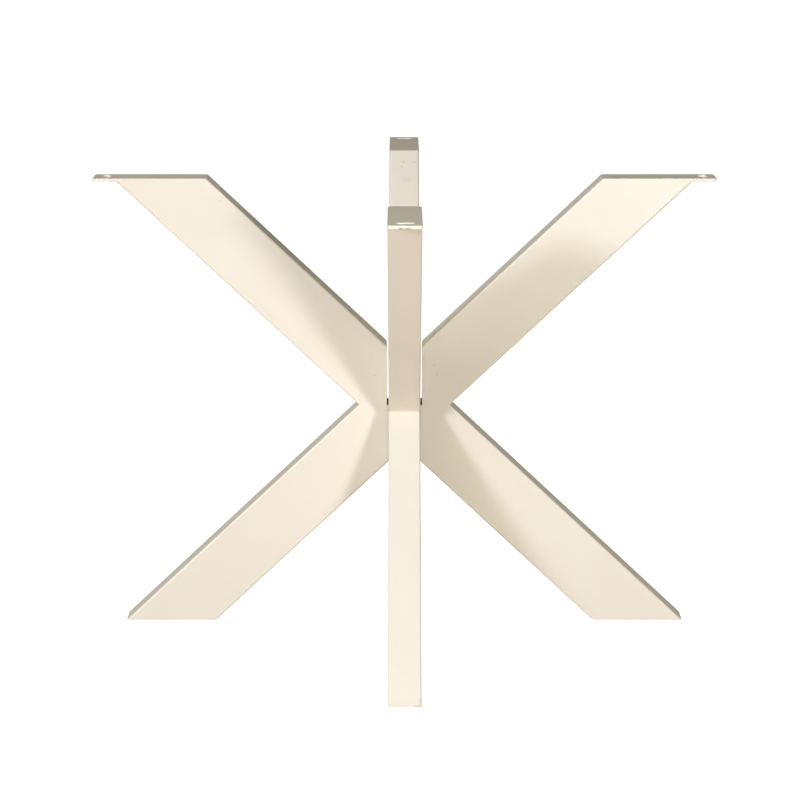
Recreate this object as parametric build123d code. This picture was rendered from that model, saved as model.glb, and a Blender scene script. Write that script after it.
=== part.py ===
from build123d import *
import os
from math import asin, atan2, cos, degrees, hypot, sin, sqrt

# A table base of two welded X-frames of rectangular steel tube.
# The frames stand at right angles and slot into each other at the crossing with a half-lap joint.
# The base frame runs left to right and its notch is open at the top.
# The drop-in frame runs front to rear and its notch is open at the bottom.
# The origin lies on the floor, under the crossing. X points right, Y to the rear, Z up.

# Driving dimensions of the whole base, in millimetres
base_height = 720.0
foot_spread = 900.0

# Rectangular steel tube: the broad side lies in the plane of the frame
tube_depth = 100.0
tube_width = 50.0
tube_wall = 2.0
tube_corner_radius = 3.5

# Plates that carry the table top
top_plate_thickness = 5.0
top_plate_overhang = 38.0
top_plate_corner_radius = 5.0
top_plate_inner_round = 4.0

# Bolt slots: they run across the plate, so that a wooden top can swell and shrink
bolt_slot_length = 28.0
bolt_slot_width = 14.0
bolt_slot_from_tip = 20.0

# Plates that close the tubes at the floor
foot_plate_thickness = 3.0
foot_heel_bevel = 2.0

# Half-lap joint: the notch is wider than the tube that drops into it
notch_side_clearance = 3.0

# Welds: the seams of the crossing are ground flush and run out to a thin edge, the plate beads stand proud
seam_runout = 0.05
weld_leg = 4.0
weld_crown = 0.6

# Broken edges of the plates
edge_break = 0.5

# Heights and the lean of the diagonals follow from the sizes above
tube_top = base_height - top_plate_thickness
crossing_height = tube_top / 2
half_spread = foot_spread / 2
centre_to_toe = hypot(half_spread, crossing_height)
lean = atan2(crossing_height, half_spread) + asin(tube_depth / 2 / centre_to_toe)
cut_length = tube_depth / sin(lean)
heel_reach = half_spread - cut_length
tip_reach = half_spread + top_plate_overhang
full_reach = centre_to_toe + tube_depth
notch_width = tube_width + 2 * notch_side_clearance


def diagonal_plane(side: int) -> Plane:
    """Plane square to the diagonal that rises towards side, -1 for left and 1 for right."""
    along = Vector(side * cos(lean), 0, sin(lean))
    across = Vector(-side * sin(lean), 0, cos(lean))
    return Plane(origin=(0, 0, crossing_height), x_dir=across, z_dir=along)


def tube_outline(inset: float = 0.0) -> Sketch:
    """Rounded outline of the tube, drawn in by inset for the bore."""
    return RectangleRounded(tube_depth - 2 * inset, tube_width - 2 * inset, tube_corner_radius - inset)


def floor_slab(bottom: float, top: float) -> Part:
    """A slab that covers the whole base between two heights."""
    size = 2 * (foot_spread + tip_reach)
    return Pos(0, 0, (bottom + top) / 2) * Box(size, size, top - bottom)


def bar(side: int, start: float, end: float, inset: float = 0.0) -> Part:
    """Solid bar with the tube's outline along one diagonal, between two distances from the crossing."""
    return extrude(diagonal_plane(side).offset(start) * tube_outline(inset), end - start)


def tube_between(side: int, start: float, end: float) -> Part:
    """Hollow tube along one diagonal, cut level under the top plate and over the foot plate."""
    tube = bar(side, start, end) - bar(side, start, end, tube_wall)
    return tube & floor_slab(foot_plate_thickness, tube_top)


def notch_block(open_at_top: bool) -> Part:
    """What the half-lap notch takes out of a frame: from mid-height to past its open end."""
    height = base_height / 2
    offset = height / 2 if open_at_top else -height / 2
    return Pos(0, 0, crossing_height + offset) * Box(notch_width, 2 * tube_width, height)


def through_tube(notch: Part) -> Part:
    """The one tube of a frame that runs from top to floor without a join."""
    return tube_between(-1, -full_reach, full_reach) - notch


def cope_cutter() -> Part:
    """Through tube's envelope with its rounded corners, opened to both broad sides where they run out."""
    corner_rise = tube_corner_radius - seam_runout
    corner_run = sqrt(tube_corner_radius**2 - corner_rise**2)
    flat_depth = tube_depth - 2 * (tube_corner_radius - corner_run)
    outline = tube_outline() + Rectangle(flat_depth, 2 * tube_width)
    return extrude(diagonal_plane(-1) * outline, full_reach, both=True)


def half_tube(notch: Part, upper: bool) -> Part:
    """Half a diagonal, coped to the rounded corners of the through tube, with the seam ground flush."""
    tube = tube_between(1, 0, full_reach) if upper else tube_between(1, -full_reach, 0)
    return tube - cope_cutter() - notch


def top_plate() -> Part:
    """Plate on the right arm: it covers the tube's cut end and stands out past it for the bolt."""
    length = tip_reach - heel_reach
    middle = (tip_reach + heel_reach) / 2
    plate = Pos(middle, 0, tube_top + top_plate_thickness / 2) * Box(length, tube_width, top_plate_thickness)
    tip_corners = plate.edges().filter_by(Axis.Z).group_by(Axis.X)[-1]
    plate = fillet(tip_corners, top_plate_corner_radius)
    inner_edge = plate.edges().filter_by(Axis.Y).group_by(Axis.X)[0].sort_by(Axis.Z)[-1]
    plate = fillet(inner_edge, top_plate_inner_round)
    rims = plate.faces().filter_by(Axis.Z).edges()
    rims = rims.filter_by(lambda edge: edge.center().X > heel_reach + top_plate_inner_round + edge_break)
    plate = chamfer(rims, edge_break)
    slot = extrude(Plane.XY.offset(tube_top) * Rot(0, 0, 90) * SlotOverall(bolt_slot_length, bolt_slot_width),
                   top_plate_thickness)
    plate -= Pos(tip_reach - bolt_slot_from_tip, 0, 0) * slot
    return plate


def heel_cutter() -> Part:
    """Everything past the bevel that takes the corner off the right foot's heel."""
    on_floor = Vector(heel_reach + foot_heel_bevel, 0, 0)
    on_face = Vector(heel_reach - foot_heel_bevel * cos(lean), 0, foot_heel_bevel * sin(lean))
    outward = Vector(-sin(lean / 2), 0, -cos(lean / 2))
    bevel = Plane(origin=(on_floor + on_face) * 0.5, x_dir=(0, 1, 0), z_dir=outward)
    size = 2 * tube_width
    return bevel * Box(size, size, size, align=(Align.CENTER, Align.CENTER, Align.MIN))


def foot_plate() -> Part:
    """Plate under the right foot: it carries the tube's outline down to the floor."""
    plate = bar(-1, -full_reach, 0) & floor_slab(0, foot_plate_thickness)
    plate -= heel_cutter()
    rims = plate.faces().filter_by(Axis.Z).edges()
    return chamfer(rims, edge_break)


def plate_weld() -> Part:
    """Bead in the corner between the overhang's underside and the right arm's lower face."""
    corner = Vector(half_spread, 0, tube_top)
    on_plate = corner + Vector(weld_leg, 0, 0)
    on_tube = corner - Vector(cos(lean), 0, sin(lean)) * weld_leg
    outward = (on_plate + on_tube) * 0.5 - corner
    crown = (on_plate + on_tube) * 0.5 + outward.normalized() * weld_crown
    edges = [Line(corner, on_plate), ThreePointArc(on_plate, crown, on_tube), Line(on_tube, corner)]
    length = tube_width - 2 * tube_corner_radius
    return extrude(make_face(edges), length / 2, dir=(0, 1, 0), both=True)


def build_frame(name: str, turn: float, left: str, right: str, notch_open_at_top: bool) -> dict[str, Part]:
    """All pieces of one welded frame, turned about the upright axis into its place."""
    notch = notch_block(notch_open_at_top)
    other_side = Rot(0, 0, 180)
    pieces = {
        "through_tube": through_tube(notch),
        "upper_half_tube": half_tube(notch, upper=True),
        "lower_half_tube": half_tube(notch, upper=False),
        f"{right}_top_plate": top_plate(),
        f"{left}_top_plate": other_side * top_plate(),
        f"{right}_foot_plate": foot_plate(),
        f"{left}_foot_plate": other_side * foot_plate(),
        f"{right}_plate_weld": plate_weld(),
        f"{left}_plate_weld": other_side * plate_weld(),
    }
    return {f"{name}_{piece}": Rot(0, 0, turn) * solid for piece, solid in pieces.items()}


def main() -> None:
    """Build both frames and write one STEP file for each piece."""
    os.makedirs("parts", exist_ok=True)
    pieces = build_frame("base_frame", 0, left="left", right="right", notch_open_at_top=True)
    pieces |= build_frame("drop_in_frame", -90, left="rear", right="front", notch_open_at_top=False)
    for name, solid in pieces.items():
        export_step(solid, f"parts/{name}.step")
    print(f"lean of the diagonals {degrees(lean):.2f} degrees, {len(pieces)} pieces")


main()
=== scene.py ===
"""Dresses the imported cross-frame table base as cream powder-coated steel in a plain studio.

The base is two welded X-frames of rectangular steel tube that slot into each other at the crossing.
All sizes are metres in the frame of the CAD model: the origin lies on the floor under the crossing,
X points right, Y to the rear and Z up.
"""
import sys

import logging
import math
from dataclasses import dataclass
from enum import Enum

import bmesh
import bpy
from mathutils import Matrix, Vector

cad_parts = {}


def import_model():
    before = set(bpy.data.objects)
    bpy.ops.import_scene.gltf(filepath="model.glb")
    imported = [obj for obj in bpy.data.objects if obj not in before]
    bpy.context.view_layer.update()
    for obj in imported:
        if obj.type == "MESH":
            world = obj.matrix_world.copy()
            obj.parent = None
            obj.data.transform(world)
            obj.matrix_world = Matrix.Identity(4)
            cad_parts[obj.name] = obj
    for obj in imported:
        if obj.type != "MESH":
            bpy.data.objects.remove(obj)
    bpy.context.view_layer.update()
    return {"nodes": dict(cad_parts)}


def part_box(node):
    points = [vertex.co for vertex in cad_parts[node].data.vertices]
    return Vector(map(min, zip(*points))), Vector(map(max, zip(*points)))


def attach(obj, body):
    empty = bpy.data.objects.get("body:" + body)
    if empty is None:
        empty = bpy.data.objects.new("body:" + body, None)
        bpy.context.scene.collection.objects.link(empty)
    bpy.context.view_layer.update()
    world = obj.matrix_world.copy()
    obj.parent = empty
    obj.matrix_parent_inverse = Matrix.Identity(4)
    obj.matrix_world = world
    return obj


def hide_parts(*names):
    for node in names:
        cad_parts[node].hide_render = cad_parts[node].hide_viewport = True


Tree, Node, Socket = bpy.types.NodeTree, bpy.types.Node, bpy.types.NodeSocket
Thing, Mesh, Material = bpy.types.Object, bpy.types.Mesh, bpy.types.Material

MM = 0.001

# The sRGB curve: straight up to the knee, a power above it
SRGB_KNEE, SRGB_SLOPE, SRGB_OFFSET, SRGB_POWER = 0.04045, 12.92, 0.055, 2.4

# Numbers of the Mix node's colour sockets
MIX_SHARE, MIX_FIRST, MIX_SECOND, MIX_RESULT = 0, 6, 7, 2

log = logging.getLogger("table_base")


def linear(hex_colour: str) -> tuple[float, float, float, float]:
    """Turn an sRGB hex colour into the linear colour that Blender's sockets take.

    Args:
        hex_colour: Six hex digits with a leading #.

    Returns:
        Red, green, blue and an alpha of one.
    """
    channels = [int(hex_colour[start:start + 2], 16) / 255 for start in (1, 3, 5)]
    red, green, blue = [
        c / SRGB_SLOPE if c <= SRGB_KNEE else ((c + SRGB_OFFSET) / (1 + SRGB_OFFSET)) ** SRGB_POWER
        for c in channels
    ]
    return red, green, blue, 1.0


def add_node(
    tree: Tree,
    kind: str,
    values: dict[int | str, object] | None = None,
    links: dict[int | str, Socket] | None = None,
    **settings: object,
) -> Node:
    """Add one node with its settings and links.

    Args:
        tree: Tree that takes the node.
        kind: Blender's name of the node type.
        values: Fixed socket values, by the input's name or number.
        links: Output sockets that feed the inputs, by the input's name or number.
        settings: Properties of the node itself.

    Returns:
        The new node.
    """
    node = tree.nodes.new(kind)
    for name, setting in settings.items():
        setattr(node, name, setting)
    for key, value in (values or {}).items():
        node.inputs[key].default_value = value
    for key, source in (links or {}).items():
        tree.links.new(source, node.inputs[key])
    return node


def link_object(name: str, mesh: Mesh) -> Thing:
    """Put a mesh into the scene as an object at the origin.

    Args:
        name: Name of the object.
        mesh: Mesh with its place in its own points.

    Returns:
        The new object.
    """
    thing = bpy.data.objects.new(name, mesh)
    bpy.context.scene.collection.objects.link(thing)
    return thing


class MarkKind(Enum):
    """Colour that a mark of handling leaves on the coat."""

    CHIP = "#5A4E3E"
    SMUDGE = "#A99D88"
    RUB = "#A79B86"


@dataclass(frozen=True)
class Mark:
    """One small mark of handling, a soft-edged blot round a point of the surface.

    Attributes:
        kind: What left the mark.
        place: Middle of the blot.
        reach: Half the blot's size along X, Y and Z.
        cover: Share of the mark's colour at the middle.
        core: Share of the reach that is covered in full.
        grain: Size of the bites in the ragged edge.
        grain_detail: Octaves of those bites.
        raggedness: Depth of the bites, as a share of the reach.
    """

    kind: MarkKind
    place: tuple[float, float, float]
    reach: tuple[float, float, float]
    cover: float = 0.65
    core: float = 0.35
    grain: float = 1.2 * MM
    grain_detail: float = 2.0
    raggedness: float = 0.9

    def laid_over(self, tree: Tree, place: Socket, colour: Socket) -> Socket:
        """Lay the mark over a colour.

        Args:
            tree: Material tree that takes the nodes.
            place: Object coordinates.
            colour: Colour of the clean coat.

        Returns:
            Socket with the marked colour.
        """
        offset = add_node(
            tree, "ShaderNodeVectorMath", {1: self.place}, {0: place}, operation="SUBTRACT"
        )
        scaled = add_node(
            tree, "ShaderNodeVectorMath", {1: self.reach}, {0: offset.outputs[0]},
            operation="DIVIDE",
        )
        distance = add_node(
            tree, "ShaderNodeVectorMath", links={0: scaled.outputs[0]}, operation="LENGTH"
        )
        rag = add_node(
            tree, "ShaderNodeTexNoise",
            {"Scale": 1 / self.grain, "Detail": self.grain_detail}, {"Vector": place},
        )
        ragged = add_node(
            tree, "ShaderNodeMath", {1: self.raggedness},
            {0: rag.outputs["Fac"], 2: distance.outputs["Value"]}, operation="MULTIPLY_ADD",
        )
        mean_bite = self.raggedness / 2
        share = add_node(
            tree, "ShaderNodeMapRange",
            {
                "From Min": self.core + mean_bite, "From Max": 1 + mean_bite,
                "To Min": self.cover, "To Max": 0.0,
            },
            {"Value": ragged.outputs[0]}, interpolation_type="SMOOTHSTEP",
        )
        marked = add_node(
            tree, "ShaderNodeMix", {MIX_SECOND: linear(self.kind.value)},
            {MIX_SHARE: share.outputs[0], MIX_FIRST: colour}, data_type="RGBA",
        )
        return marked.outputs[MIX_RESULT]


@dataclass(frozen=True)
class BareBore:
    """Hot-rolled steel under its own scale, inside the tube where the powder hardly reaches.

    Dark, dull grey with browner patches, so that the open notch looks deep. The coat is whole up to
    the mouth, measured from the crossing, and thins out over the overspray behind it.
    """

    crossing: Vector
    across: Vector
    sideways: Vector
    half_depth: float
    half_width: float
    scale_colour: str = "#34302C"
    flash_colour: str = "#463A2F"
    patch_size: float = 12 * MM
    patch_detail: float = 4.0
    roughness: float = 0.60
    metallic: float = 0.80
    mouth: float = 32 * MM
    overspray: float = 18 * MM

    def share(self, tree: Tree, place: Socket) -> Socket:
        """Make the share of bare steel: one deep in the bore, none at its mouth or on the outside.

        Args:
            tree: Material tree that takes the nodes.
            place: Object coordinates.

        Returns:
            Socket with the share.
        """
        offset = add_node(
            tree, "ShaderNodeVectorMath", {1: self.crossing}, {0: place}, operation="SUBTRACT"
        ).outputs[0]
        from_crossing = add_node(
            tree, "ShaderNodeVectorMath", links={0: offset}, operation="LENGTH"
        )
        bare = add_node(
            tree, "ShaderNodeMapRange",
            {"From Min": self.mouth, "From Max": self.mouth + self.overspray},
            {"Value": from_crossing.outputs["Value"]}, interpolation_type="SMOOTHSTEP",
        ).outputs[0]
        for axis, limit in ((self.across, self.half_depth), (self.sideways, self.half_width)):
            along = add_node(
                tree, "ShaderNodeVectorMath", {1: axis}, {0: offset}, operation="DOT_PRODUCT"
            )
            distance = add_node(
                tree, "ShaderNodeMath", links={0: along.outputs["Value"]}, operation="ABSOLUTE"
            )
            inside = add_node(
                tree, "ShaderNodeMath", {1: limit}, {0: distance.outputs[0]}, operation="LESS_THAN"
            )
            bare = add_node(
                tree, "ShaderNodeMath", links={0: bare, 1: inside.outputs[0]}, operation="MULTIPLY"
            ).outputs[0]
        return bare

    def colour(self, tree: Tree, place: Socket) -> Socket:
        """Make the patchy colour of the scale.

        Args:
            tree: Material tree that takes the nodes.
            place: Object coordinates.

        Returns:
            Socket with the colour.
        """
        patches = add_node(
            tree, "ShaderNodeTexNoise",
            {"Scale": 1 / self.patch_size, "Detail": self.patch_detail}, {"Vector": place},
        )
        scale = add_node(
            tree, "ShaderNodeMix",
            {MIX_FIRST: linear(self.scale_colour), MIX_SECOND: linear(self.flash_colour)},
            {MIX_SHARE: patches.outputs["Fac"]}, data_type="RGBA",
        )
        return scale.outputs[MIX_RESULT]


@dataclass(frozen=True)
class PowderCoat:
    """Cream polyester powder coat, sprayed on blasted steel and baked.

    Semi-gloss: a faint orange peel breaks up the highlights, and the cream drifts a little with the
    thickness of the film.
    """

    colour: str = "#EEE5D6"
    thin_colour: str = "#E8DDCB"
    drift_size: float = 110 * MM
    drift_detail: float = 3.0
    ior: float = 1.5
    least_roughness: float = 0.34
    most_roughness: float = 0.44
    # The real peel is about 1.5 mm from crest to crest. It is drawn twice as coarse, so that it
    # shows.
    peel_size: float = 3 * MM
    peel_height: float = 0.03 * MM
    peel_detail: float = 1.0
    peel_roughness: float = 0.4

    def material(
        self, name: str, marks: tuple[Mark, ...] = (), bore: BareBore | None = None
    ) -> Material:
        """Make the coat for one piece.

        Args:
            name: Name of the material.
            marks: Marks of handling on this piece.
            bore: Bare inside of the tube, where the piece is a tube.

        Returns:
            The material.
        """
        material = bpy.data.materials.new(name)
        material.use_nodes = True
        tree = material.node_tree
        tree.nodes.clear()
        place = add_node(tree, "ShaderNodeTexCoord").outputs["Object"]
        drift = add_node(
            tree, "ShaderNodeTexNoise",
            {"Scale": 1 / self.drift_size, "Detail": self.drift_detail}, {"Vector": place},
        ).outputs["Fac"]
        colour = add_node(
            tree, "ShaderNodeMix",
            {MIX_FIRST: linear(self.colour), MIX_SECOND: linear(self.thin_colour)},
            {MIX_SHARE: drift}, data_type="RGBA",
        ).outputs[MIX_RESULT]
        for mark in marks:
            colour = mark.laid_over(tree, place, colour)
        gloss = add_node(
            tree, "ShaderNodeMapRange",
            {"To Min": self.least_roughness, "To Max": self.most_roughness}, {"Value": drift},
        ).outputs[0]
        peel = add_node(
            tree, "ShaderNodeTexNoise",
            {
                "Scale": 1 / self.peel_size, "Detail": self.peel_detail,
                "Roughness": self.peel_roughness,
            },
            {"Vector": place},
        )
        bump = add_node(
            tree, "ShaderNodeBump", {"Strength": 1.0, "Distance": self.peel_height},
            {"Height": peel.outputs["Fac"]},
        )
        surface = add_node(
            tree, "ShaderNodeBsdfPrincipled", {"IOR": self.ior}, {"Normal": bump.outputs["Normal"]}
        )
        if bore is not None:
            bare, scale = bore.share(tree, place), bore.colour(tree, place)
            colour = add_node(
                tree, "ShaderNodeMix",
                links={MIX_SHARE: bare, MIX_FIRST: colour, MIX_SECOND: scale}, data_type="RGBA",
            ).outputs[MIX_RESULT]
            metal = add_node(
                tree, "ShaderNodeMath", {1: bore.metallic}, {0: bare}, operation="MULTIPLY"
            )
            tree.links.new(metal.outputs[0], surface.inputs["Metallic"])
            gloss = add_node(
                tree, "ShaderNodeMapRange", {"To Max": bore.roughness},
                {"Value": bare, "To Min": gloss},
            ).outputs[0]
        tree.links.new(colour, surface.inputs["Base Color"])
        tree.links.new(gloss, surface.inputs["Roughness"])
        add_node(tree, "ShaderNodeOutputMaterial", links={"Surface": surface.outputs["BSDF"]})
        return material


@dataclass(frozen=True)
class LitSweep:
    """White acrylic sweep that is lit from below as well as above: it reads as plain white."""

    colour: str = "#F2F2F2"
    glow_colour: str = "#FFFFFF"
    glow: float = 0.90
    roughness: float = 0.9

    def material(self) -> Material:
        """Make the sweep's material.

        Returns:
            The material.
        """
        material = bpy.data.materials.new("white_lit_acrylic_sweep")
        material.use_nodes = True
        surface = material.node_tree.nodes["Principled BSDF"]
        surface.inputs["Base Color"].default_value = linear(self.colour)
        surface.inputs["Roughness"].default_value = self.roughness
        surface.inputs["Emission Color"].default_value = linear(self.glow_colour)
        surface.inputs["Emission Strength"].default_value = self.glow
        return material


@dataclass(frozen=True)
class TubeSizes:
    """Sizes that both frames share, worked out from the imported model's boxes.

    Attributes:
        tube_width: Width of the tube, square to its frame.
        tube_depth: Depth of the tube, in the plane of its frame.
        tube_top: Height of the tubes' upper ends, which are cut level.
        crossing_height: Height at which the two diagonals cross.
        half_spread: How far the outer corner of a tube's end lies from the middle.
        heel_reach: How far the inner corner of a tube's end lies from the middle.
        tip_reach: How far the tip of a top plate lies from the middle.
        plate_top: Height of the top plates' upper faces.
        lean: Angle between a diagonal and the floor, in radians.
        wall: Thickness of the tube's wall.
        corner_radius: Outer radius of the tube's long corners.
    """

    tube_width: float
    tube_depth: float
    tube_top: float
    crossing_height: float
    half_spread: float
    heel_reach: float
    tip_reach: float
    plate_top: float
    lean: float
    wall: float = 2 * MM
    corner_radius: float = 3.5 * MM

    @classmethod
    def from_model(cls) -> "TubeSizes":
        """Read the sizes off the base frame's through tube and right top plate.

        Returns:
            The sizes.
        """
        tube_low, tube_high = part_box("base_frame_through_tube")
        plate_low, plate_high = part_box("base_frame_right_top_plate")
        half_spread = -tube_low.x
        crossing_height = tube_high.z / 2
        lean = math.atan2(crossing_height, (half_spread + plate_low.x) / 2)
        return cls(
            tube_width=tube_high.y - tube_low.y,
            tube_depth=(half_spread - plate_low.x) * math.sin(lean),
            tube_top=tube_high.z,
            crossing_height=crossing_height,
            half_spread=half_spread,
            heel_reach=plate_low.x,
            tip_reach=plate_high.x,
            plate_top=plate_high.z,
            lean=lean,
        )


class BeadInput(Enum):
    """Named inputs of the bead tree and their socket types."""

    LENGTH = ("Length", "NodeSocketFloat")
    LEG = ("Leg", "NodeSocketFloat")
    CROWN = ("Crown", "NodeSocketFloat")
    HALF_OPENING = ("Half Opening", "NodeSocketFloat")
    RIPPLE_PITCH = ("Ripple Pitch", "NodeSocketFloat")
    RIPPLE_HEIGHT = ("Ripple Height", "NodeSocketFloat")
    END_FULLNESS = ("End Fullness", "NodeSocketFloat")
    RINGS = ("Rings", "NodeSocketInt")
    COAT = ("Coat", "NodeSocketMaterial")


@dataclass(frozen=True)
class BeadForm:
    """Geometry Nodes tree that draws a fillet bead along X, with the ripples that the torch leaves.

    The corner of the two faces lies on the X axis, and the bead's face looks along Z. The points of
    a ring run over the face from toe to toe, and the last one is the root, sunk into the corner.
    """

    profile_points: int = 12
    rings_in_a_ripple: int = 7
    ripple_bow: float = 1.5 * MM
    sink: float = 0.4 * MM
    past_the_toe: float = 1.0001

    def swept_ring(self, tree: Tree, given: Node) -> Socket:
        """Sweep a ring of points along the seam.

        Args:
            tree: Tree that takes the nodes.
            given: The tree's input node.

        Returns:
            Socket with the mesh. Its attribute "across" runs from nought at one toe to one at the
            other, and comes out above one at the root.
        """
        line = add_node(
            tree, "GeometryNodeCurvePrimitiveLine", {"Direction": (1.0, 0.0, 0.0)},
            {"Length": given.outputs["Length"]}, mode="DIRECTION",
        )
        seam = add_node(
            tree, "GeometryNodeResampleCurve",
            links={"Curve": line.outputs[0], "Count": given.outputs["Rings"]},
        )
        ring = add_node(
            tree, "GeometryNodeCurvePrimitiveCircle", {"Resolution": self.profile_points},
            mode="RADIUS",
        )
        number = add_node(tree, "GeometryNodeInputIndex")
        across = add_node(
            tree, "ShaderNodeMath", {1: self.profile_points - 2}, {0: number.outputs[0]},
            operation="DIVIDE",
        )
        named = add_node(
            tree, "GeometryNodeStoreNamedAttribute", {"Name": "across"},
            {"Geometry": ring.outputs[0], "Value": across.outputs[0]},
            data_type="FLOAT", domain="POINT",
        )
        swept = add_node(
            tree, "GeometryNodeCurveToMesh", {"Fill Caps": True},
            {"Curve": seam.outputs[0], "Profile Curve": named.outputs[0]},
        )
        return swept.outputs[0]

    def bulge(self, tree: Tree, given: Node, x: Socket, hump: Socket) -> Socket:
        """Work out how far the middle of the face stands over the line from toe to toe.

        Args:
            tree: Tree that takes the nodes.
            given: The tree's input node.
            x: Place along the seam.
            hump: Nought at the toes and one halfway between them.

        Returns:
            Socket with the crown and the ripples, which bow forwards between the toes.
        """
        bowed = add_node(
            tree, "ShaderNodeMath", {1: self.ripple_bow}, {0: hump, 2: x}, operation="MULTIPLY_ADD"
        )
        half_turns = add_node(
            tree, "ShaderNodeMath",
            links={0: bowed.outputs[0], 1: given.outputs["Ripple Pitch"]}, operation="DIVIDE",
        )
        angle = add_node(
            tree, "ShaderNodeMath", {1: math.pi}, {0: half_turns.outputs[0]}, operation="MULTIPLY"
        )
        wave = add_node(tree, "ShaderNodeMath", links={0: angle.outputs[0]}, operation="SINE")
        crest = add_node(tree, "ShaderNodeMath", links={0: wave.outputs[0]}, operation="ABSOLUTE")
        height, crown = given.outputs["Ripple Height"], given.outputs["Crown"]
        return add_node(
            tree, "ShaderNodeMath", links={0: crest.outputs[0], 1: height, 2: crown},
            operation="MULTIPLY_ADD",
        ).outputs[0]

    def fullness(self, tree: Tree, given: Node, x: Socket) -> Socket:
        """Work out the share of its section that the bead keeps as it rounds off at its ends.

        Args:
            tree: Tree that takes the nodes.
            given: The tree's input node.
            x: Place along the seam.

        Returns:
            Socket with the share: one, but for the last leg's length at each end.
        """
        from_end = add_node(
            tree, "ShaderNodeMath", links={0: given.outputs["Length"], 1: x}, operation="SUBTRACT"
        )
        nearest = add_node(
            tree, "ShaderNodeMath", links={0: from_end.outputs[0], 1: x}, operation="MINIMUM"
        )
        run_in = add_node(
            tree, "ShaderNodeMapRange", {"From Min": 0.0, "To Min": 1.0, "To Max": 0.0},
            {"Value": nearest.outputs[0], "From Max": given.outputs["Leg"]},
        )
        squared, kept = (
            add_node(tree, "ShaderNodeMath", {1: 2.0}, {0: source}, operation="POWER")
            for source in (run_in.outputs[0], given.outputs["End Fullness"])
        )
        lost = add_node(
            tree, "ShaderNodeMath", {1: 1.0}, {0: kept.outputs[0]}, operation="SUBTRACT"
        )
        left_over = add_node(
            tree, "ShaderNodeMath", {2: 1.0}, {0: squared.outputs[0], 1: lost.outputs[0]},
            operation="MULTIPLY_ADD",
        )
        return add_node(
            tree, "ShaderNodeMath", links={0: left_over.outputs[0]}, operation="SQRT"
        ).outputs[0]

    def tree(self) -> Tree:
        """Build the tree.

        Returns:
            The node tree, with the inputs of BeadInput.
        """
        tree = bpy.data.node_groups.new("weld_bead_ripples", "GeometryNodeTree")
        for item in BeadInput:
            tree.interface.new_socket(item.value[0], in_out="INPUT", socket_type=item.value[1])
        tree.interface.new_socket("Geometry", in_out="OUTPUT", socket_type="NodeSocketGeometry")
        given = add_node(tree, "NodeGroupInput")
        swept = self.swept_ring(tree, given)
        across = add_node(
            tree, "GeometryNodeInputNamedAttribute", {"Name": "across"}, data_type="FLOAT"
        ).outputs[0]
        point = add_node(tree, "GeometryNodeInputPosition")
        x = add_node(tree, "ShaderNodeSeparateXYZ", links={0: point.outputs[0]}).outputs["X"]

        # The parabola 4 t (1 - t)
        rest = add_node(tree, "ShaderNodeMath", {0: 1.0}, {1: across}, operation="SUBTRACT")
        humped = add_node(
            tree, "ShaderNodeMath", links={0: across, 1: rest.outputs[0]}, operation="MULTIPLY"
        )
        hump = add_node(
            tree, "ShaderNodeMath", {1: 4.0}, {0: humped.outputs[0]}, operation="MULTIPLY"
        ).outputs[0]

        # The toes lie on the two faces, a leg away from the corner
        side, chord = (
            add_node(
                tree, "ShaderNodeMath", links={0: share.outputs[0], 1: given.outputs["Leg"]},
                operation="MULTIPLY",
            ).outputs[0]
            for share in (
                add_node(
                    tree, "ShaderNodeMath", links={0: given.outputs["Half Opening"]},
                    operation=operation,
                )
                for operation in ("SINE", "COSINE")
            )
        )
        swing = add_node(
            tree, "ShaderNodeMath", {1: -2.0, 2: 1.0}, {0: across}, operation="MULTIPLY_ADD"
        )
        y = add_node(
            tree, "ShaderNodeMath", links={0: side, 1: swing.outputs[0]}, operation="MULTIPLY"
        )
        z = add_node(
            tree, "ShaderNodeMath", links={0: hump, 1: self.bulge(tree, given, x, hump), 2: chord},
            operation="MULTIPLY_ADD",
        )
        fullness = self.fullness(tree, given, x)
        y_end, z_end = (
            add_node(
                tree, "ShaderNodeMath", links={0: full.outputs[0], 1: fullness},
                operation="MULTIPLY",
            ).outputs[0]
            for full in (y, z)
        )
        face = add_node(tree, "ShaderNodeCombineXYZ", links={"X": x, "Y": y_end, "Z": z_end})
        root = add_node(tree, "ShaderNodeCombineXYZ", {"Z": -self.sink}, {"X": x})
        is_root = add_node(
            tree, "FunctionNodeCompare", {1: self.past_the_toe}, {0: across},
            data_type="FLOAT", operation="GREATER_THAN",
        )
        place = add_node(
            tree, "GeometryNodeSwitch",
            links={0: is_root.outputs[0], 1: face.outputs[0], 2: root.outputs[0]},
            input_type="VECTOR",
        )
        moved = add_node(
            tree, "GeometryNodeSetPosition", links={"Geometry": swept, "Position": place.outputs[0]}
        )
        smooth = add_node(
            tree, "GeometryNodeSetShadeSmooth", links={"Geometry": moved.outputs[0]}
        )
        real = add_node(
            tree, "GeometryNodeRealizeInstances", links={"Geometry": smooth.outputs[0]}
        )
        coated = add_node(
            tree, "GeometryNodeSetMaterial",
            links={"Geometry": real.outputs[0], "Material": given.outputs["Coat"]},
        )
        add_node(tree, "NodeGroupOutput", links={0: coated.outputs[0]})
        return tree


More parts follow.
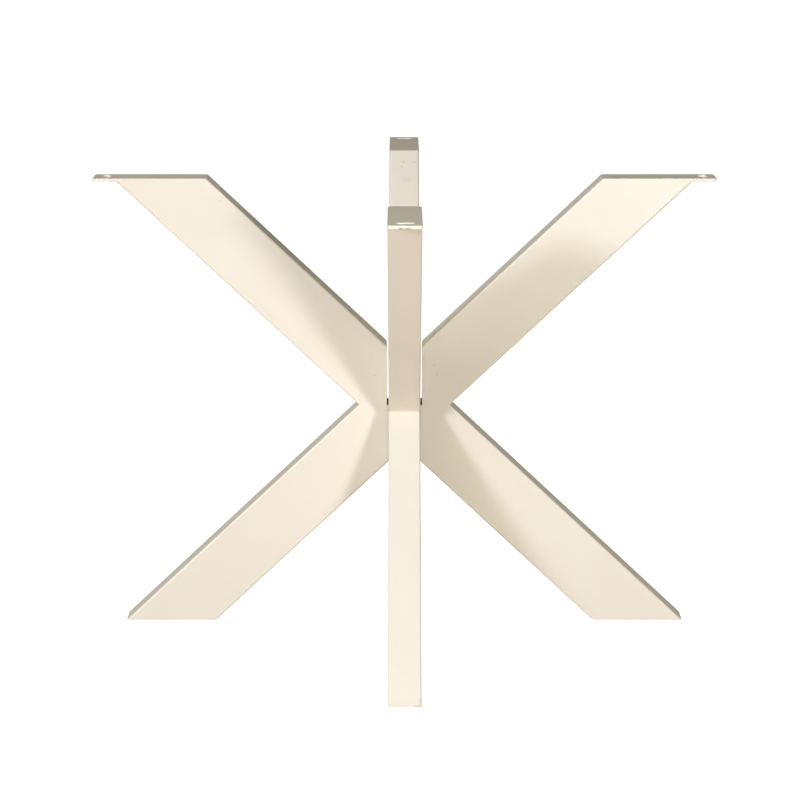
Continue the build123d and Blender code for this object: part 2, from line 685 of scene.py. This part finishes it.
@dataclass(frozen=True)
class WeldBead:
    """One fillet bead in the corner between two faces that meet along a straight seam.

    Attributes:
        name: Name of the piece.
        corner: Middle of the seam.
        first_face: Direction in which the first face leaves the corner.
        second_face: The same for the second face.
        length: Length of the bead.
        leg: Reach of the bead on either face.
        crown: Height of its middle over the line from toe to toe, less than nought for a hollow.
        ripple_height: Height of the torch's ripples.
        end_fullness: Share of its section that is left at its ends.
        ripple_pitch: Length of one ripple.
    """

    name: str
    corner: Vector
    first_face: Vector
    second_face: Vector
    length: float
    leg: float
    crown: float
    ripple_height: float
    end_fullness: float
    ripple_pitch: float = 2.4 * MM

    def place(self) -> Matrix:
        """Work out how the bead goes from the X axis into its corner.

        Returns:
            The matrix that carries it there.
        """
        facing = (self.first_face + self.second_face).normalized()
        spread = (self.first_face - self.second_face).normalized()
        run = spread.cross(facing)
        start = self.corner - run * self.length / 2
        turn = Matrix((run, spread, facing)).transposed().to_4x4()
        return Matrix.Translation(start) @ turn

    def build(self, form: Tree, rings_in_a_ripple: int, coat: Material) -> Thing:
        """Draw the bead with the shared tree and turn it into a plain mesh in its corner.

        Args:
            form: The bead tree.
            rings_in_a_ripple: Rings of points along one ripple.
            coat: Finish of the bead.

        Returns:
            The finished piece.
        """
        values = {
            BeadInput.LENGTH: self.length,
            BeadInput.LEG: self.leg,
            BeadInput.CROWN: self.crown,
            BeadInput.HALF_OPENING: self.first_face.angle(self.second_face) / 2,
            BeadInput.RIPPLE_PITCH: self.ripple_pitch,
            BeadInput.RIPPLE_HEIGHT: self.ripple_height,
            BeadInput.END_FULLNESS: self.end_fullness,
            BeadInput.RINGS: round(self.length / self.ripple_pitch * rings_in_a_ripple),
            BeadInput.COAT: coat,
        }
        carrier_name = self.name + "_carrier"
        carrier = link_object(carrier_name, bpy.data.meshes.new(carrier_name))
        modifier = carrier.modifiers.new("bead", "NODES")
        modifier.node_group = form
        sockets = {
            item.name: item.identifier
            for item in form.interface.items_tree if item.in_out == "INPUT"
        }
        for item, value in values.items():
            modifier[sockets[item.value[0]]] = value
        evaluated = carrier.evaluated_get(bpy.context.evaluated_depsgraph_get())
        mesh = bpy.data.meshes.new_from_object(evaluated)
        bpy.data.objects.remove(carrier)
        mesh.transform(self.place())
        shape = bmesh.new()
        shape.from_mesh(mesh)
        bmesh.ops.recalc_face_normals(shape, faces=shape.faces)
        shape.to_mesh(mesh)
        shape.free()
        mesh.name = self.name
        return link_object(self.name, mesh)


@dataclass(frozen=True)
class PlateLayer:
    """One level outline of a top plate.

    Attributes:
        height: Height over the plate's underside.
        inset: How far the sides lie inside the plate's full outline.
        overhang_inset: The same, past the tube.
        drawn_back: How far the inner end lies behind the plane of the arm's upper face.
    """

    height: float
    inset: float = 0.0
    overhang_inset: float = 0.0
    drawn_back: float = 0.0


@dataclass(frozen=True)
class TopPlate:
    """Top plate that is ground flush with the arm: its inner end carries on the arm's upper face.

    It is drawn on the arm that rises to the right and then turned to its own arm. Where it covers
    the tube its lower rim is ground away into the tube's sides. Round the overhang the rim keeps
    its broken edge.
    """

    name: str
    turn: float
    sizes: TubeSizes
    tip_radius: float = 5 * MM
    broken_edge: float = 0.5 * MM
    rim_run_in: float = 1 * MM
    slot_length: float = 28 * MM
    slot_width: float = 14 * MM
    slot_from_tip: float = 20 * MM
    inner_round: float = 1.2 * MM
    round_start: float = 0.2
    round_end: float = 0.8
    arc_steps: int = 6
    slot_steps: int = 12
    sharp_angle: float = 35.0

    def layers(self) -> tuple[PlateLayer, ...]:
        """List the plate's outlines from its underside to its upper face.

        Returns:
            The layers, with the broken edges below and above and the inner end's small round.
        """
        thickness = self.sizes.plate_top - self.sizes.tube_top
        edge, bend = self.broken_edge, self.inner_round
        return (
            PlateLayer(0.0, overhang_inset=edge),
            PlateLayer(edge),
            PlateLayer(thickness - bend),
            PlateLayer(thickness - edge, drawn_back=bend * self.round_start),
            PlateLayer(thickness, edge, edge, bend * self.round_end),
        )

    def outline(self, layer: PlateLayer) -> list[Vector]:
        """Give the plate's outline at one height, counterclockwise from above.

        Args:
            layer: Height and insets of the outline.

        Returns:
            Points of the outline.
        """
        sizes = self.sizes
        half = sizes.tube_width / 2
        overhang = layer.overhang_inset
        inner = sizes.heel_reach + layer.height / math.tan(sizes.lean) + layer.drawn_back
        bend, bend_run = sizes.corner_radius, sizes.corner_radius / math.sin(sizes.lean)
        tip = sizes.tip_reach - overhang
        rounding = self.tip_radius - overhang
        quarter = [math.pi / 2 * step / self.arc_steps for step in range(self.arc_steps + 1)]
        front = [
            (
                inner + bend_run * (1 - math.sin(angle)),
                layer.inset + bend * (1 - math.cos(angle)),
            )
            for angle in reversed(quarter)
        ]
        front += [
            (sizes.half_spread, layer.inset),
            (sizes.half_spread + self.rim_run_in, overhang),
        ]
        front += [
            (tip - rounding * (1 - math.sin(angle)), overhang + rounding * (1 - math.cos(angle)))
            for angle in quarter
        ]
        z = sizes.tube_top + layer.height
        side = [(x, from_side - half) for x, from_side in front]
        return [Vector((x, y, z)) for x, y in side] + [
            Vector((x, -y, z)) for x, y in reversed(side)
        ]

    def slot_outline(self, z: float) -> list[Vector]:
        """Give the outline of the bolt slot, which runs across the plate.

        Args:
            z: Height of the outline.

        Returns:
            Points of the outline.
        """
        radius = self.slot_width / 2
        middle = self.sizes.tip_reach - self.slot_from_tip
        straight = self.slot_length / 2 - radius
        half_turn = [math.pi * step / self.slot_steps for step in range(self.slot_steps + 1)]
        rear = [
            Vector((middle + radius * math.cos(angle), straight + radius * math.sin(angle), z))
            for angle in half_turn
        ]
        return rear + [Vector((2 * middle - point.x, -point.y, z)) for point in rear]

    def build(self, coat: Material) -> Thing:
        """Draw the plate as a plain mesh in its place.

        Args:
            coat: Finish of the plate.

        Returns:
            The finished piece.
        """
        shape = bmesh.new()
        rings = [
            [shape.verts.new(point) for point in self.outline(layer)] for layer in self.layers()
        ]
        slots = [
            [shape.verts.new(point) for point in self.slot_outline(z)]
            for z in (self.sizes.tube_top, self.sizes.plate_top)
        ]
        for lower, upper in [*zip(rings, rings[1:]), (slots[0], slots[1])]:
            for number in range(len(lower)):
                after = (number + 1) % len(lower)
                shape.faces.new((lower[number], lower[after], upper[after], upper[number]))
        for ring, slot in ((rings[0], slots[0]), (rings[-1], slots[1])):
            rims = [
                shape.edges.get((loop[number], loop[(number + 1) % len(loop)]))
                for loop in (ring, slot) for number in range(len(loop))
            ]
            bmesh.ops.triangle_fill(shape, use_beauty=True, use_dissolve=False, edges=rims)
        bmesh.ops.recalc_face_normals(shape, faces=shape.faces)
        mesh = bpy.data.meshes.new(self.name)
        shape.to_mesh(mesh)
        shape.free()
        mesh.transform(Matrix.Rotation(math.radians(self.turn), 4, "Z"))
        mesh.shade_smooth()
        mesh.set_sharp_from_angle(angle=math.radians(self.sharp_angle))
        mesh.materials.append(coat)
        return link_object(self.name, mesh)


class NotchOpening(Enum):
    """Which way the half-lap notch of a frame opens."""

    UP = 1
    DOWN = -1


class Rise(Enum):
    """Which side of its frame a diagonal rises towards."""

    LEFT = -1
    RIGHT = 1


TUBE_RISES = {
    "through_tube": Rise.LEFT,
    "upper_half_tube": Rise.RIGHT,
    "lower_half_tube": Rise.RIGHT,
}


@dataclass(frozen=True)
class XFrame:
    """One welded frame: a through tube, two half tubes, their plates and the beads between them.

    The frame is described as seen from its front, left and right, and then turned into its place.
    """

    name: str
    turn: float
    left_end: str
    right_end: str
    notch: NotchOpening
    sizes: TubeSizes
    plate_bead_leg: float = 5.0 * MM
    plate_bead_crown: float = -0.3 * MM
    plate_bead_ripple: float = 0.12 * MM
    plate_bead_margin: float = 1.0 * MM
    plate_bead_end: float = 0.8
    ground_bead_leg: float = 1.8 * MM
    ground_bead_crown: float = -0.2 * MM
    ground_bead_ripple: float = 0.0
    ground_bead_end: float = 0.2
    bore_margin: float = 0.3 * MM

    def turned(self, x: float, z: float, y: float = 0.0) -> Vector:
        """Turn a point or a direction of the frame into its place."""
        return Matrix.Rotation(math.radians(self.turn), 3, "Z") @ Vector((x, y, z))

    def plate_beads(self) -> dict[str, WeldBead]:
        """List the beads under the plates' overhangs.

        Returns:
            Each bead, by the CAD node that it replaces.
        """
        sizes = self.sizes
        return {
            f"{self.name}_{end}_plate_weld": WeldBead(
                name=f"{self.name}_{end}_plate_bead",
                corner=self.turned(side * sizes.half_spread, sizes.tube_top),
                first_face=self.turned(side, 0),
                second_face=self.turned(-side * math.cos(sizes.lean), -math.sin(sizes.lean)),
                length=sizes.tube_width - 2 * self.plate_bead_margin,
                leg=self.plate_bead_leg,
                crown=self.plate_bead_crown,
                ripple_height=self.plate_bead_ripple,
                end_fullness=self.plate_bead_end,
            )
            for end, side in ((self.left_end, -1), (self.right_end, 1))
        }

    def ground_beads(self) -> list[WeldBead]:
        """List the low, ground beads of the crossing.

        Returns:
            A bead for each of the three corners that the notch leaves whole.
        """
        sizes = self.sizes
        run, rise = math.cos(sizes.lean), math.sin(sizes.lean)
        beside = sizes.tube_depth / 2 / rise
        over = sizes.tube_depth / 2 / run
        whole = -self.notch.value
        corners = (
            (self.left_end, (-beside, 0.0), (-run, rise), (-run, -rise)),
            (self.right_end, (beside, 0.0), (run, rise), (run, -rise)),
            ("middle", (0.0, whole * over), (run, whole * rise), (-run, whole * rise)),
        )
        return [
            WeldBead(
                name=f"{self.name}_{end}_crossing_bead",
                corner=self.turned(x, sizes.crossing_height + z),
                first_face=self.turned(*first),
                second_face=self.turned(*second),
                length=sizes.tube_width - 2 * sizes.corner_radius,
                leg=self.ground_bead_leg,
                crown=self.ground_bead_crown,
                ripple_height=self.ground_bead_ripple,
                end_fullness=self.ground_bead_end,
            )
            for end, (x, z), first, second in corners
        ]

    def top_plates(self) -> dict[str, TopPlate]:
        """List the plates at the two upper ends.

        Returns:
            Each plate, by the CAD node that it replaces.
        """
        return {
            f"{self.name}_{end}_top_plate": TopPlate(
                f"{self.name}_{end}_ground_plate", self.turn + turn, self.sizes
            )
            for end, turn in ((self.left_end, 180.0), (self.right_end, 0.0))
        }

    def bore(self, rise: Rise) -> BareBore:
        """Give the bare inside of one of the two diagonals.

        Args:
            rise: Side that the diagonal rises towards.

        Returns:
            The bore.
        """
        sizes = self.sizes
        lowered = sizes.wall - self.bore_margin
        return BareBore(
            crossing=self.turned(0, sizes.crossing_height),
            across=self.turned(-rise.value * math.sin(sizes.lean), math.cos(sizes.lean)),
            sideways=self.turned(0, 0, 1),
            half_depth=sizes.tube_depth / 2 - lowered,
            half_width=sizes.tube_width / 2 - lowered,
        )

    def dress(
        self, coat: PowderCoat, marks: dict[str, tuple[Mark, ...]], nodes: dict[str, Thing]
    ) -> None:
        """Give each CAD node of the frame its coat, and put the ground plates in their places.

        Args:
            coat: Finish of the whole base.
            marks: Marks of handling, by node.
            nodes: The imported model's nodes.
        """
        plates = self.top_plates()
        for node_name, node in nodes.items():
            if not node_name.startswith(self.name):
                continue
            part = node_name.removeprefix(self.name + "_")
            bore = self.bore(TUBE_RISES[part]) if part in TUBE_RISES else None
            node_marks = marks.get(node_name, ())
            material = coat.material(f"cream_powder_coated_steel_{node_name}", node_marks, bore)
            node.data.materials.clear()
            node.data.materials.append(material)
            if node_name in plates:
                plate = plates[node_name].build(material)
                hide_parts(node_name)
                self.hand_over(plate)
            log.info("%s: dressed, %d marks", node_name, len(node_marks))

    def build_beads(self, form: BeadForm, tree: Tree, coat: Material) -> None:
        """Build the frame's beads and tie them to the model.

        Args:
            form: Form of the beads.
            tree: The form's built tree.
            coat: Finish of the beads.
        """
        for node_name, bead in self.plate_beads().items():
            piece = bead.build(tree, form.rings_in_a_ripple, coat)
            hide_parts(node_name)
            self.hand_over(piece)
        for bead in self.ground_beads():
            self.hand_over(bead.build(tree, form.rings_in_a_ripple, coat))

    def hand_over(self, piece: Thing) -> None:
        """Tie a piece to the base's one body.

        Args:
            piece: The finished piece.
        """
        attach(piece, "root")
        log.info("%s: %d faces", piece.name, len(piece.data.polygons))


@dataclass(frozen=True)
class Softbox:
    """A square softbox, hung where the photograph's light comes from.

    Attributes:
        name: Name of the light.
        bearing: Degrees to the right of straight in front.
        elevation: Degrees above the point that it looks at.
        side: Side of its square face.
        power: Power in watts.
        colour: Colour of its light.
        distance: Distance from the point that it looks at.
    """

    name: str
    bearing: float
    elevation: float
    side: float
    power: float
    colour: str
    distance: float

    def build(self, target: Vector) -> None:
        """Hang the softbox, looking at a point.

        Args:
            target: Point that the softbox looks at.
        """
        lamp = bpy.data.lights.new(self.name, "AREA")
        lamp.shape = "SQUARE"
        lamp.size = self.side
        lamp.energy = self.power
        lamp.color = linear(self.colour)[:3]
        bearing, elevation = math.radians(self.bearing), math.radians(self.elevation)
        level = math.cos(elevation)
        towards = Vector(
            (math.sin(bearing) * level, -math.cos(bearing) * level, math.sin(elevation))
        )
        light = bpy.data.objects.new(self.name, lamp)
        bpy.context.scene.collection.objects.link(light)
        light.location = target + towards * self.distance
        light.rotation_euler = towards.to_track_quat("Z", "Y").to_euler()
        light.visible_camera = False


@dataclass(frozen=True)
class Studio:
    """White sweep, a grey surround with a lighter ceiling, and three softboxes in front.

    The sweep only backs the picture. Its bounce on the base comes from the surround's warm lower
    half, because the photograph's background is whiter than the light that it throws. The wall ends
    and the ceiling starts at a height on the unit sphere round the base.
    """

    sizes: TubeSizes
    sweep: LitSweep = LitSweep()
    softboxes: tuple[Softbox, ...] = (
        Softbox(
            "left_softbox", bearing=-40.0, elevation=17.0, side=1.05, power=318.5,
            colour="#E1E7FF", distance=8.0,
        ),
        Softbox(
            "right_softbox", bearing=23.5, elevation=13.5, side=0.26, power=24.3,
            colour="#F2F6FF", distance=2.4,
        ),
        Softbox(
            "front_fill", bearing=-35.0, elevation=35.0, side=2.20, power=43.7,
            colour="#FDFFEA", distance=4.0,
        ),
    )
    floor_side: float = 60.0
    floor_drop: float = 0.2 * MM
    wall_colour: str = "#1C1C1C"
    ceiling_colour: str = "#909087"
    bounce_colour: str = "#BCB09A"
    wall_top: float = 0.10
    ceiling_start: float = 0.50

    def build(self) -> None:
        """Lay the floor, light the surround and hang the softboxes."""
        self.lay_floor()
        self.light_surround()
        target = Vector((0.0, 0.0, self.sizes.crossing_height))
        for softbox in self.softboxes:
            softbox.build(target)

    def lay_floor(self) -> None:
        """Lay the white sweep just under the feet, seen by the camera alone."""
        half = self.floor_side / 2
        mesh = bpy.data.meshes.new("floor")
        corners = [
            (x * half, y * half, -self.floor_drop) for x, y in ((-1, -1), (1, -1), (1, 1), (-1, 1))
        ]
        mesh.from_pydata(corners, [], [(0, 1, 2, 3)])
        mesh.materials.append(self.sweep.material())
        floor = link_object("floor", mesh)
        floor.visible_diffuse = False
        floor.visible_glossy = False
        floor.visible_shadow = False

    def light_surround(self) -> None:
        """Make the surround dark at the walls, lighter overhead, and bright and warm from below."""
        world = bpy.data.worlds.new("studio_surround")
        world.use_nodes = True
        tree = world.node_tree
        tree.nodes.clear()
        direction = add_node(tree, "ShaderNodeTexCoord").outputs["Generated"]
        height = add_node(tree, "ShaderNodeSeparateXYZ", links={0: direction}).outputs["Z"]
        rise = add_node(
            tree, "ShaderNodeMapRange",
            {"From Min": self.wall_top, "From Max": self.ceiling_start}, {"Value": height},
            interpolation_type="SMOOTHSTEP",
        )
        overhead = add_node(
            tree, "ShaderNodeMix",
            {MIX_FIRST: linear(self.wall_colour), MIX_SECOND: linear(self.ceiling_colour)},
            {MIX_SHARE: rise.outputs[0]}, data_type="RGBA",
        )
        below = add_node(tree, "ShaderNodeMath", {1: 0.0}, {0: height}, operation="LESS_THAN")
        surround = add_node(
            tree, "ShaderNodeMix", {MIX_SECOND: linear(self.bounce_colour)},
            {MIX_SHARE: below.outputs[0], MIX_FIRST: overhead.outputs[MIX_RESULT]},
            data_type="RGBA",
        )
        glow = add_node(
            tree, "ShaderNodeBackground", links={"Color": surround.outputs[MIX_RESULT]}
        )
        add_node(tree, "ShaderNodeOutputWorld", links={"Surface": glow.outputs[0]})
        bpy.context.scene.world = world


@dataclass(frozen=True)
class PhotoCamera:
    """The photograph's viewpoint, found by fitting the base's straight edges."""

    focal_length_mm: float = 120.9
    sensor_mm: float = 36.0
    distance: float = 4.189
    height: float = 1.314
    sideways: float = -0.007
    pitch: float = 12.83
    clip_end: float = 100.0

    def build(self) -> None:
        """Set up the camera and make it the scene's own."""
        lens = bpy.data.cameras.new("photo_camera")
        lens.lens = self.focal_length_mm
        lens.sensor_width = self.sensor_mm
        lens.clip_end = self.clip_end
        camera = bpy.data.objects.new("photo_camera", lens)
        bpy.context.scene.collection.objects.link(camera)
        camera.location = (self.sideways, -self.distance, self.height)
        camera.rotation_euler = (math.radians(90 - self.pitch), 0.0, 0.0)
        bpy.context.scene.camera = camera


def handling_marks() -> dict[str, tuple[Mark, ...]]:
    """List the marks of handling that the photograph shows.

    Returns:
        The marks, by the CAD node that carries them.
    """
    chip, smudge, rub = MarkKind.CHIP, MarkKind.SMUDGE, MarkKind.RUB
    return {
        "drop_in_frame_front_top_plate": (
            Mark(chip, (-0.0060, -0.488, 0.7160), (0.0050, 0.0020, 0.0014), cover=0.75),
            Mark(chip, (0.0035, -0.488, 0.7158), (0.0060, 0.0020, 0.0012), cover=0.80),
        ),
        "drop_in_frame_through_tube": (
            Mark(chip, (-0.0037, 0.2844, 0.6959), (0.0010, 0.0030, 0.0030), cover=0.50),
            Mark(smudge, (-0.0015, 0.2917, 0.7028), (0.0030, 0.0014, 0.0014)),
            Mark(smudge, (0.0181, 0.2914, 0.7025), (0.0060, 0.0010, 0.0010)),
            Mark(smudge, (0.0025, 0.2643, 0.6768), (0.0110, 0.0060, 0.0060), cover=0.12),
            Mark(rub, (0.0225, -0.4417, 0.0079), (0.0018, 0.0050, 0.0050), cover=0.30),
        ),
        "drop_in_frame_front_foot_plate": (
            Mark(rub, (0.0185, -0.4490, 0.0012), (0.0075, 0.0030, 0.0016), cover=0.50),
        ),
        "drop_in_frame_upper_half_tube": (
            Mark(smudge, (0.0046, -0.0864, 0.3705), (0.0024, 0.0010, 0.0010)),
            Mark(smudge, (0.0068, -0.1182, 0.4006), (0.0009, 0.0009, 0.0009)),
        ),
        "base_frame_through_tube": (
            Mark(smudge, (-0.0277, -0.0250, 0.3494), (0.0030, 0.0010, 0.0010)),
            Mark(smudge, (-0.0471, -0.0250, 0.4055), (0.0012, 0.0010, 0.0012)),
            Mark(smudge, (-0.2895, -0.0250, 0.6855), (0.0022, 0.0010, 0.0012), cover=0.30),
        ),
        "base_frame_upper_half_tube": (
            Mark(smudge, (0.0517, -0.0250, 0.4072), (0.0012, 0.0010, 0.0012)),
            Mark(smudge, (0.0475, -0.0250, 0.4219), (0.0012, 0.0010, 0.0012)),
            Mark(smudge, (0.3431, -0.0250, 0.6768), (0.0016, 0.0010, 0.0016), cover=0.30),
        ),
        "base_frame_left_top_plate": (
            Mark(smudge, (-0.4365, -0.0250, 0.7185), (0.0012, 0.0010, 0.0010)),
        ),
    }


def main() -> None:
    """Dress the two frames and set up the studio."""
    logging.basicConfig(level=logging.INFO, format="%(name)s: %(message)s", stream=sys.stdout)
    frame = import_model()
    # The default transform would grey the near-white coat and the sweep
    bpy.context.scene.view_settings.view_transform = "Standard"

    sizes = TubeSizes.from_model()
    coat = PowderCoat()
    marks = handling_marks()
    form = BeadForm()
    tree = form.tree()
    bead_coat = coat.material("cream_powder_coated_weld_bead")
    base_frame = XFrame("base_frame", 0.0, "left", "right", NotchOpening.UP, sizes)
    drop_in_frame = XFrame("drop_in_frame", -90.0, "rear", "front", NotchOpening.DOWN, sizes)
    for x_frame in (base_frame, drop_in_frame):
        x_frame.dress(coat, marks, frame["nodes"])
        x_frame.build_beads(form, tree, bead_coat)
    Studio(sizes).build()
    PhotoCamera().build()


if __name__ == "__main__":
    main()
